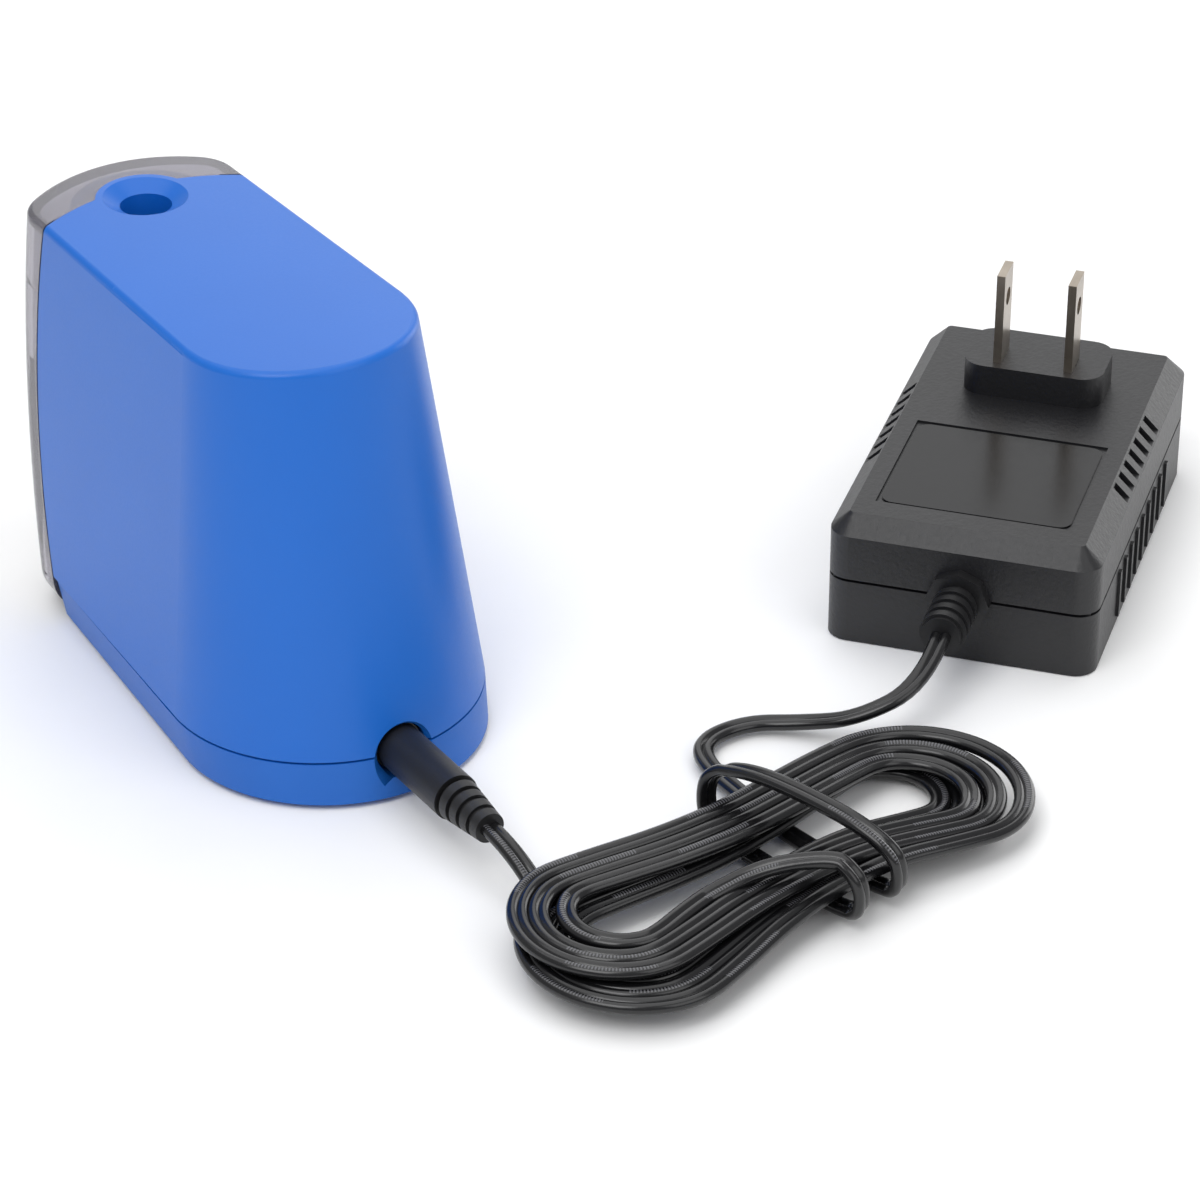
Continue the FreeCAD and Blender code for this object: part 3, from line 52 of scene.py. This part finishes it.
def add(tree, kind, settings=(), inputs=()):
    """One shader node with its settings, and its inputs set or linked."""
    node = tree.nodes.new(kind)
    for key, value in dict(settings).items():
        setattr(node, key, value)
    for key, value in dict(inputs).items():
        if isinstance(value, bpy.types.NodeSocket):
            tree.links.new(value, node.inputs[key])
        else:
            node.inputs[key].default_value = value
    return node


GLOSS_SPREAD = 0.05
GRAIN_STRENGTH = 0.6


def finish(name, dark, light, rough, grain_mm, depth_mm, cloud_mm=18, **sockets):
    """A surface with cloudy colour, uneven gloss and a grain of the given width and depth."""
    material = bpy.data.materials.new(name)
    material.use_nodes = True
    tree = material.node_tree
    shader = tree.nodes["Principled BSDF"]
    where = add(tree, "ShaderNodeTexCoord").outputs["Object"]
    cloud = add(tree, "ShaderNodeTexNoise", {}, {"Vector": where, "Scale": 1000 / cloud_mm, "Detail": 3.0})
    grain = add(tree, "ShaderNodeTexNoise", {}, {"Vector": where, "Scale": 1000 / grain_mm, "Detail": 2.0})
    colour = add(tree, "ShaderNodeMix", {"data_type": "RGBA"},
                 {"Factor": cloud.outputs["Fac"], 6: linear(dark), 7: linear(light)})
    gloss = add(tree, "ShaderNodeMapRange", {},
                {"Value": grain.outputs["Fac"], "To Min": rough - GLOSS_SPREAD,
                 "To Max": rough + GLOSS_SPREAD})
    bump = add(tree, "ShaderNodeBump", {},
               {"Height": grain.outputs["Fac"], "Distance": depth_mm / 1000, "Strength": GRAIN_STRENGTH})
    tree.links.new(colour.outputs[2], shader.inputs["Base Color"])
    tree.links.new(gloss.outputs["Result"], shader.inputs["Roughness"])
    tree.links.new(bump.outputs["Normal"], shader.inputs["Normal"])
    for socket, value in sockets.items():
        shader.inputs[socket.replace("_", " ")].default_value = value
    return material


def dress(material, names, smooth_degrees=32):
    """Put a finish on solid pieces and smooth their shading up to an angle."""
    for name in names:
        mesh = nodes[name].data
        mesh.materials.clear()
        mesh.materials.append(material)
        for face in mesh.polygons:
            face.use_smooth = True
        mesh.set_sharp_from_angle(angle=math.radians(smooth_degrees))


# ABS from a finely blasted tool: an even satin blue, a shade duller than the housing.
dress(finish("satin_blue_abs_base", "1261BD", "1868C5", 0.42, 0.5, 0.008, IOR=1.53, Specular_IOR_Level=0.4),
      ["base"])

# Feet: four black rubber pads pressed into recesses under the base.
# Moulded nitrile rubber is matt and slightly dusty, so it gives back almost no highlight.
dress(finish("matt_nitrile_rubber", "151516", "222224", 0.82, 0.6, 0.02, IOR=1.52), ["rubber_feet"])

# Screws: plated steel self-tappers for the base, the gear frame and the motor.
# Bright zinc over rolled steel is pale, a little blue, and cloudy from barrel plating.
dress(finish("zinc_plated_steel", "8E9296", "A9ADB1", 0.36, 0.4, 0.006, 4, Metallic=1.0),
      ["base_screws", "frame_screws", "motor_screws"], 25)

# Gear frame, its cover and the bulkhead: black glass-filled nylon that carries the motor and gears.
# Glass fibre near the surface leaves it dull, with a faint grey bloom.
dress(finish("glass_filled_nylon", "17171A", "232327", 0.56, 0.35, 0.012, 9, IOR=1.53),
      ["gear_frame", "gear_cover", "bulkhead"])

# Motor: a deep-drawn steel can with a moulded end bell, held by two screws.
# The can is passivated zinc, so its shine is soft; the shaft and pins are ground bright.
dress(finish("drawn_zinc_plated_can", "7E8184", "93969A", 0.4, 0.5, 0.008, 12, Metallic=1.0),
      ["motor_can"], 25)
dress(finish("ground_steel", "8C8C8E", "A6A6A8", 0.26, 0.3, 0.003, 6, Metallic=1.0),
      ["motor_shaft", "idler_pin", "lever_pin", "cutter_pin"], 20)

# Pinion and bush: sintered bronze, pressed on the shaft and into the frame.
# The pores hold oil, which keeps the yellow metal dark and soft in its shine.
dress(finish("sintered_bronze", "8A6A36", "A5824A", 0.46, 0.3, 0.01, 5, Metallic=1.0),
      ["carrier_bush", "motor_pinion"])

# Gears, end bell, lever and button: natural acetal, moulded without paint.
# It is waxy and ivory white, and lets a little light in under the skin.
dress(finish("natural_acetal", "DAD6C8", "E9E5D9", 0.42, 0.4, 0.004, IOR=1.48, Subsurface_Weight=0.06,
             Subsurface_Scale=0.001),
      ["drive_gear", "idler_gear", "motor_end_bell", "pencil_switch_lever", "switch_button"])

# Cutter: a helical burr of hardened steel whose pinion end runs in the ring gear.
# Its carrier and the ring are zinc castings, greyer and rougher than the ground teeth.
dress(finish("hardened_tool_steel", "86878A", "9FA0A3", 0.24, 0.3, 0.004, 6, Metallic=1.0),
      ["helical_cutter"], 20)
dress(finish("cast_zinc", "6F7174", "87898C", 0.5, 0.7, 0.016, 8, Metallic=1.0),
      ["cutter_carrier", "ring_gear"], 25)

# Switch and power jack: small black thermoplastic mouldings, snapped into the frame and the base.
# They are polished in the tool, so they shine more than the frame.
dress(finish("black_polyamide", "121214", "1B1B1E", 0.38, 0.4, 0.006, 9, IOR=1.53),
      ["pencil_switch", "dc_jack"])

# Housing: the tapered blue shell over the works, one ABS moulding with the pencil hole in its roof.
# The tool is satin, so broad soft highlights run along its rounded corners.
dress(finish("satin_blue_abs", "0E64C4", "146ACC", 0.36, 0.5, 0.008, 30, IOR=1.53, Specular_IOR_Level=0.4),
      ["housing"])

# Receptacle: the pull-off shavings bin, moulded in smoke-tinted clear polystyrene.
# Handling has frosted it, so it reads as a pale grey haze with darker works behind.
dress(finish("smoked_polystyrene", "B3B0BA", "BFBCC6", 0.15, 3.0, 0.002, 14, IOR=1.59,
             Transmission_Weight=0.82),
      ["receptacle"])

# Plug: soft PVC moulded over the cord's end, with rings that let it bend, and a plated barrel.
# The PVC is nearly black and silky; the nickel on the barrel and the mains blades is warm and worn.
dress(finish("silky_pvc", "121213", "1C1C1E", 0.44, 0.5, 0.010, IOR=1.53),
      ["dc_plug", "adapter_strain_relief"])
dress(finish("nickel_plated_brass", "8F8579", "B3A99C", 0.3, 0.5, 0.005, 4, Metallic=1.0),
      ["plug_blades", "dc_plug_barrel"])

# Adapter: two black ABS half shells, welded round the middle, over a board and a small transformer.
# Spark erosion in the tool leaves a grain that glitters on the bevels, drawn coarse at 0.8 mm.
dress(finish("spark_eroded_abs", "111113", "1B1B1E", 0.42, 0.8, 0.11, 20, IOR=1.53),
      ["adapter_upper_case", "adapter_lower_case"])
dress(finish("phenolic_board", "7A5B2C", "8A6A36", 0.6, 0.5, 0.01), ["adapter_board"])
dress(finish("lacquered_core_steel", "3C3C3E", "4A4A4C", 0.5, 0.5, 0.01, Metallic=0.8),
      ["adapter_transformer"])

# Rating plate: the bare polyester film in the recess on the adapter's face.
# It is die cut with round corners and glued flat, so only its edge and gloss tell it from the case.
ADAPTER = Matrix.Translation((-0.1298, 0.0386, 0.0)) @ Matrix.Rotation(math.radians(220.3), 4, "Z")
PLATE_CENTRE = Vector((-0.0160, 0.0, 0.0231))
PLATE_SIZE = (0.0290, 0.0330, 0.00025)
PLATE_CORNER = 0.0022
PLATE_EDGE = 0.00010
CORNER_STEPS = 6
outline = []
for turn, (side_x, side_y) in enumerate(((1, 1), (-1, 1), (-1, -1), (1, -1))):
    for step in range(CORNER_STEPS + 1):
        angle = math.radians(90 * (turn + step / CORNER_STEPS))
        x = side_x * (PLATE_SIZE[0] / 2 - PLATE_CORNER) + PLATE_CORNER * math.cos(angle)
        y = side_y * (PLATE_SIZE[1] / 2 - PLATE_CORNER) + PLATE_CORNER * math.sin(angle)
        outline.append(Vector((x, y, 0)))
plate_form = bmesh.new()
corners = [plate_form.verts.new(ADAPTER @ (PLATE_CENTRE + corner)) for corner in outline]
bottom = plate_form.faces.new(corners)
raised_part = bmesh.ops.extrude_face_region(plate_form, geom=[bottom])["geom"]
top_corners = [part for part in raised_part if isinstance(part, bmesh.types.BMVert)]
bmesh.ops.translate(plate_form, verts=top_corners, vec=(0, 0, PLATE_SIZE[2]))
top_edges = [edge for edge in plate_form.edges if all(vertex in top_corners for vertex in edge.verts)]
bmesh.ops.bevel(plate_form, geom=top_edges, offset=PLATE_EDGE, segments=2, affect="EDGES")
bmesh.ops.recalc_face_normals(plate_form, faces=plate_form.faces)
plate_mesh = bpy.data.meshes.new("rating_plate")
plate_form.to_mesh(plate_mesh)
plate_form.free()
plate_mesh.materials.append(finish("glossy_polyester_film", "0C0C0E", "131315", 0.22, 1.5, 0.004, 25,
                                   Specular_IOR_Level=0.28))
rating_plate = bpy.data.objects.new("rating_plate", plate_mesh)
bpy.context.collection.objects.link(rating_plate)
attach(rating_plate, "power_lead")

# Lead: flat twin cord from the plug to the adapter, folded into a loose hank.
# Its last turns go round the waist, and its free ends keep near the part's own route.
CORE_RADIUS = 0.00095
CORE_SPREAD = 0.00080
PLUG_END = 0.0760
JACK_HEIGHT = 0.0078
CORD_REST = 0.00165
HANK_CENTRE = Vector((-0.035, 0.1036, 0.0))
HANK_YAW = 12.3
HALF_RUN = 0.029
INNER = 0.0066
STEP = 0.0036
LOW_LAYER = 0.0046
LAYER_RISE = 0.0027
LAYER_TURN = (0.0, -5.0)
WAIST_DRAW = 0.0043
END_FAN = 0.0004
END_WANDER = 0.0006
WANDER_TURN = 2.3
END_DROP = 0.0026
DROP_START = 0.014
DROP_RUN = 0.020
RUNGS = (0, 1, 1, 2, 2, 3, 3, 3, 2, 2, 1, 1, 0)
CLIMB = 6
RUN_SHARES = (0.1, 0.3, 0.5, 0.7, 0.9)
BEND_POINTS = 6
WRAP_HALF = 0.0188
WRAP_CLEAR = 0.0070
WRAP_ENTRY = (0.0075, 0.0055, 0.0028)
WRAP_START = 0.002
WRAP_ADVANCE = 0.00036
WRAP_DEGREES = 15
WRAP_STEPS = range(3, 40)
TOP_POWER = 0.8
FOOT_POWER = 0.6
FLOOR_GAP = 0.0002


def at_hank(x, y, z, turn=0.0):
    """A point of the hank, whose X axis lies along its runs."""
    return Matrix.Rotation(math.radians(HANK_YAW + turn), 3, "Z") @ Vector((x, y, z)) + HANK_CENTRE


def hank_point(x, y, layer):
    """A point of a loop: drawn in at the waist, and sagging at the adapter's end."""
    waist = max(0.0, 1 - (x / HALF_RUN) ** 2)
    drawn = math.copysign(max(0.0, abs(y) - WAIST_DRAW * waist), y)
    sag = END_DROP * max(0.0, min(1.0, (-x - DROP_START) / DROP_RUN))
    turn = LAYER_TURN[0] + (LAYER_TURN[1] - LAYER_TURN[0]) * layer
    return at_hank(x, drawn, LOW_LAYER + LAYER_RISE * layer - sag, turn)


def hank_points():
    """Control points of the loops, outwards on the low layer and back on the high one."""
    reach = [HALF_RUN + END_FAN * (first + second) / 2 + END_WANDER * math.sin(WANDER_TURN * index)
             for index, (first, second) in enumerate(zip(RUNGS, RUNGS[1:]))]
    half_step = math.pi / BEND_POINTS / 2
    points = []
    for index, rung in enumerate(RUNGS):
        side = 1 if index % 2 == 0 else -1
        offset = INNER + STEP * rung
        first = HALF_RUN / 2 if index == 0 else side * reach[index - 1]
        last = HALF_RUN / 2 if index == len(RUNGS) - 1 else -side * reach[index]
        for share in RUN_SHARES:
            layer = share * share * (3 - 2 * share) if index == CLIMB else float(index > CLIMB)
            points.append(hank_point(first + (last - first) * share, side * offset, layer))
        if index < len(RUNGS) - 1:
            after = INNER + STEP * RUNGS[index + 1]
            corner = (offset + after) / 2 / math.cos(half_step)
            middle = side * (offset - after) / 2
            for vertex in range(BEND_POINTS):
                angle = half_step * (1 + 2 * vertex)
                points.append(hank_point(last - side * corner * math.sin(angle),
                                         middle + side * corner * math.cos(angle), float(index >= CLIMB)))
    return points


def wrap_points():
    """Turns round the waist: over the top, down one side, underneath and up the other."""
    low = CORE_RADIUS + FLOOR_GAP
    top_layer = LOW_LAYER + LAYER_RISE
    high = top_layer + WRAP_CLEAR
    points = [at_hank(WRAP_ENTRY[0], WRAP_ENTRY[1], top_layer + WRAP_ENTRY[2])]
    for step in WRAP_STEPS:
        angle = math.radians(90 - WRAP_DEGREES * step)
        power = TOP_POWER if math.sin(angle) > 0 else FOOT_POWER
        round_y = math.copysign(abs(math.cos(angle)) ** power, math.cos(angle))
        round_z = math.copysign(abs(math.sin(angle)) ** power, math.sin(angle))
        points.append(at_hank(WRAP_START - WRAP_ADVANCE * step, WRAP_HALF * round_y,
                              (low + high) / 2 + (high - low) / 2 * round_z))
    return points


lead_points = [Vector((0, PLUG_END, JACK_HEIGHT)), Vector((0, PLUG_END + 0.007, JACK_HEIGHT)),
               Vector((-0.0005, PLUG_END + 0.018, CORD_REST)), Vector((0.0005, PLUG_END + 0.033, CORD_REST)),
               at_hank(HALF_RUN / 2 + 0.014, INNER, LOW_LAYER)]
tail_points = [Vector((-0.0440, 0.0705, CORD_REST)), Vector((-0.0480, 0.0645, CORD_REST)),
               Vector((-0.0570, 0.0640, CORD_REST)), Vector((-0.0640, 0.0695, 0.0022)),
               Vector((-0.0700, 0.0768, 0.0048)), ADAPTER @ Vector((-0.064, 0, 0.0093)),
               ADAPTER @ Vector((-0.052, 0, 0.0118))]
controls = lead_points + hank_points() + wrap_points() + tail_points
route_data = bpy.data.curves.new("cord_route", "CURVE")
route_data.dimensions = "3D"
route_data.resolution_u = 8
spline = route_data.splines.new("NURBS")
spline.points.add(len(controls) - 1)
for point, control in zip(spline.points, controls):
    point.co = (*control, 1.0)
spline.order_u = 3
spline.use_endpoint_u = True
route = bpy.data.objects.new("cord_route", route_data)
bpy.context.collection.objects.link(route)
bpy.context.view_layer.update()
path = [vertex.co.copy() for vertex in bpy.data.meshes.new_from_object(route).vertices]
bpy.data.objects.remove(route)

# The section is two round cores side by side, with a groove where they could be torn apart.
# It is carried along without twist, and turned slowly flat wherever the cord runs level.
CORE_STEPS = 9
NEARLY_LEVEL = 0.9
TURN_FLAT = 0.2
GROOVE_DEGREES = 60
groove = math.acos(-CORE_SPREAD / CORE_RADIUS)
section = []
for side, start in ((1, -groove), (-1, math.pi - groove)):
    for step in range(CORE_STEPS):
        angle = start + 2 * groove * step / CORE_STEPS
        section.append((side * CORE_SPREAD + CORE_RADIUS * math.cos(angle), CORE_RADIUS * math.sin(angle)))
vertices = []
along = []
run_so_far = 0.0
across = None
for index, point in enumerate(path):
    ahead = (path[min(index + 1, len(path) - 1)] - path[max(index - 1, 0)]).normalized()
    level = ahead.cross(Vector((0, 0, 1)))
    if across is None:
        across = level.normalized()
    across = (across - ahead * across.dot(ahead)).normalized()
    if level.length > NEARLY_LEVEL:
        flat = level.normalized() * math.copysign(TURN_FLAT, level.dot(across))
        across = (across * (1 - TURN_FLAT) + flat).normalized()
    normal = across.cross(ahead)
    if index:
        run_so_far += (point - path[index - 1]).length
    for x, y in section:
        vertices.append(point + across * x + normal * y)
        along.append(run_so_far)
count = len(section)
faces = [tuple(range(count))[::-1], tuple(range((len(path) - 1) * count, len(path) * count))]
for ring in range(len(path) - 1):
    for corner in range(count):
        beside = (corner + 1) % count
        faces.append((ring * count + corner, ring * count + beside,
                      (ring + 1) * count + beside, (ring + 1) * count + corner))
cord_mesh = bpy.data.meshes.new("lead")
cord_mesh.from_pydata(vertices, [], faces)
cord_mesh.update()
for face in cord_mesh.polygons:
    face.use_smooth = True
cord_mesh.set_sharp_from_angle(angle=math.radians(GROOVE_DEGREES))

# Extruded PVC is black and glossy. A hatched grey polarity mark is printed along one core:
# lines 0.5 mm apart, coarser than the real print so that they show, in a band 1 mm wide.
MARK_PITCH = 0.034
MARK_SHARE = 0.4
HATCH_PITCH = 0.0005
HATCH_SHARE = 0.5
PRINTED_CORNERS = (7, 8)
cord_mesh.attributes.new("along", "FLOAT", "POINT").data.foreach_set("value", along)
band = [1.0 if place % count in PRINTED_CORNERS else 0.0 for place in range(len(vertices))]
cord_mesh.attributes.new("band", "FLOAT", "POINT").data.foreach_set("value", band)
pvc = finish("glossy_extruded_pvc", "0F0F10", "171719", 0.2, 0.6, 0.005, IOR=1.53)
tree = pvc.node_tree
shader = tree.nodes["Principled BSDF"]
distance = add(tree, "ShaderNodeAttribute", {"attribute_name": "along"}).outputs["Fac"]
printed = add(tree, "ShaderNodeAttribute", {"attribute_name": "band"}).outputs["Fac"]
steps = {}
for step, operation, first, second in (("in_mark", "MODULO", distance, MARK_PITCH),
                                       ("mark", "LESS_THAN", "in_mark", MARK_PITCH * MARK_SHARE),
                                       ("in_hatch", "MODULO", distance, HATCH_PITCH),
                                       ("hatch", "LESS_THAN", "in_hatch", HATCH_PITCH * HATCH_SHARE),
                                       ("strip", "GREATER_THAN", printed, 0.5),
                                       ("lines", "MULTIPLY", "mark", "hatch"),
                                       ("ink", "MULTIPLY", "lines", "strip")):
    inputs = {0: steps.get(first, first), 1: steps.get(second, second)}
    steps[step] = add(tree, "ShaderNodeMath", {"operation": operation}, inputs).outputs[0]
bare = shader.inputs["Base Color"].links[0].from_socket
inked = add(tree, "ShaderNodeMix", {"data_type": "RGBA"},
            {"Factor": steps["ink"], 6: bare, 7: linear("57575B")})
tree.links.new(inked.outputs[2], shader.inputs["Base Color"])
cord_mesh.materials.append(pvc)
cord = bpy.data.objects.new("lead", cord_mesh)
bpy.context.collection.objects.link(cord)
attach(cord, "power_lead")
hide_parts("cord_lead", "cord_hank", "cord_wrap", "cord_tail")

# Studio: a pale seamless paper floor under five soft boxes and an even white surround.
# Matt paper has no highlight, so the object's own shadow is all that shows on it.
FLOOR_REACH = 4
FLOOR_LEVEL = -0.0002
floor_mesh = bpy.data.meshes.new("studio_floor")
floor_corners = [(x * FLOOR_REACH, y * FLOOR_REACH, FLOOR_LEVEL)
                 for x, y in ((-1, -1), (1, -1), (1, 1), (-1, 1))]
floor_mesh.from_pydata(floor_corners, [], [(0, 1, 2, 3)])
floor_mesh.materials.append(finish("seamless_paper", "FAFAFA", "FFFFFF", 0.85, 2.0, 0.01))
studio_floor = bpy.data.objects.new("studio_floor", floor_mesh)
bpy.context.collection.objects.link(studio_floor)
AIM = Vector((-0.04, 0.03, 0.03))
for name, place, watts, side in (("key", (0.55, 0.35, 0.9), 4.0, 0.6),
                                 ("fill", (-0.3, 0.95, 0.7), 2.6, 0.8),
                                 ("top", (-0.05, -0.1, 1.1), 5.6, 1.2),
                                 ("sheen", (-0.6, -0.95, 0.68), 3.0, 1.0),
                                 ("edge", (-1.25, -0.22, 0.30), 3.5, 0.7)):
    lamp = bpy.data.lights.new(name, "AREA")
    lamp.energy = watts
    lamp.size = side
    lamp_object = bpy.data.objects.new(name, lamp)
    lamp_object.location = place
    lamp_object.rotation_euler = (AIM - Vector(place)).to_track_quat("-Z", "Y").to_euler()
    bpy.context.collection.objects.link(lamp_object)
world = bpy.data.worlds.new("studio")
world.use_nodes = True
surround = world.node_tree.nodes["Background"]
surround.inputs["Color"].default_value = linear("F6F7F9")
surround.inputs["Strength"].default_value = 0.44
bpy.context.scene.world = world
bpy.context.scene.view_settings.view_transform = "Standard"

# Camera: a long lens behind and above the jack, as in the photograph.
# Its place was fitted with the mains blades' spacing as the scale.
CAMERA_PLACE = (0.3004, 0.5825, 0.4016)
TURN = math.radians(32.36)
PITCH = math.radians(30.88)
back = Vector((math.sin(TURN) * math.cos(PITCH), math.cos(TURN) * math.cos(PITCH), math.sin(PITCH)))
right = Vector((-math.cos(TURN), math.sin(TURN), 0))
upright = back.cross(right)
camera_data = bpy.data.cameras.new("camera")
camera_data.lens = 135
camera_data.sensor_width = 36
camera = bpy.data.objects.new("camera", camera_data)
facing = Matrix((right, upright, back)).transposed().to_4x4()
camera.matrix_world = Matrix.Translation(CAMERA_PLACE) @ facing
bpy.context.collection.objects.link(camera)
bpy.context.scene.camera = camera
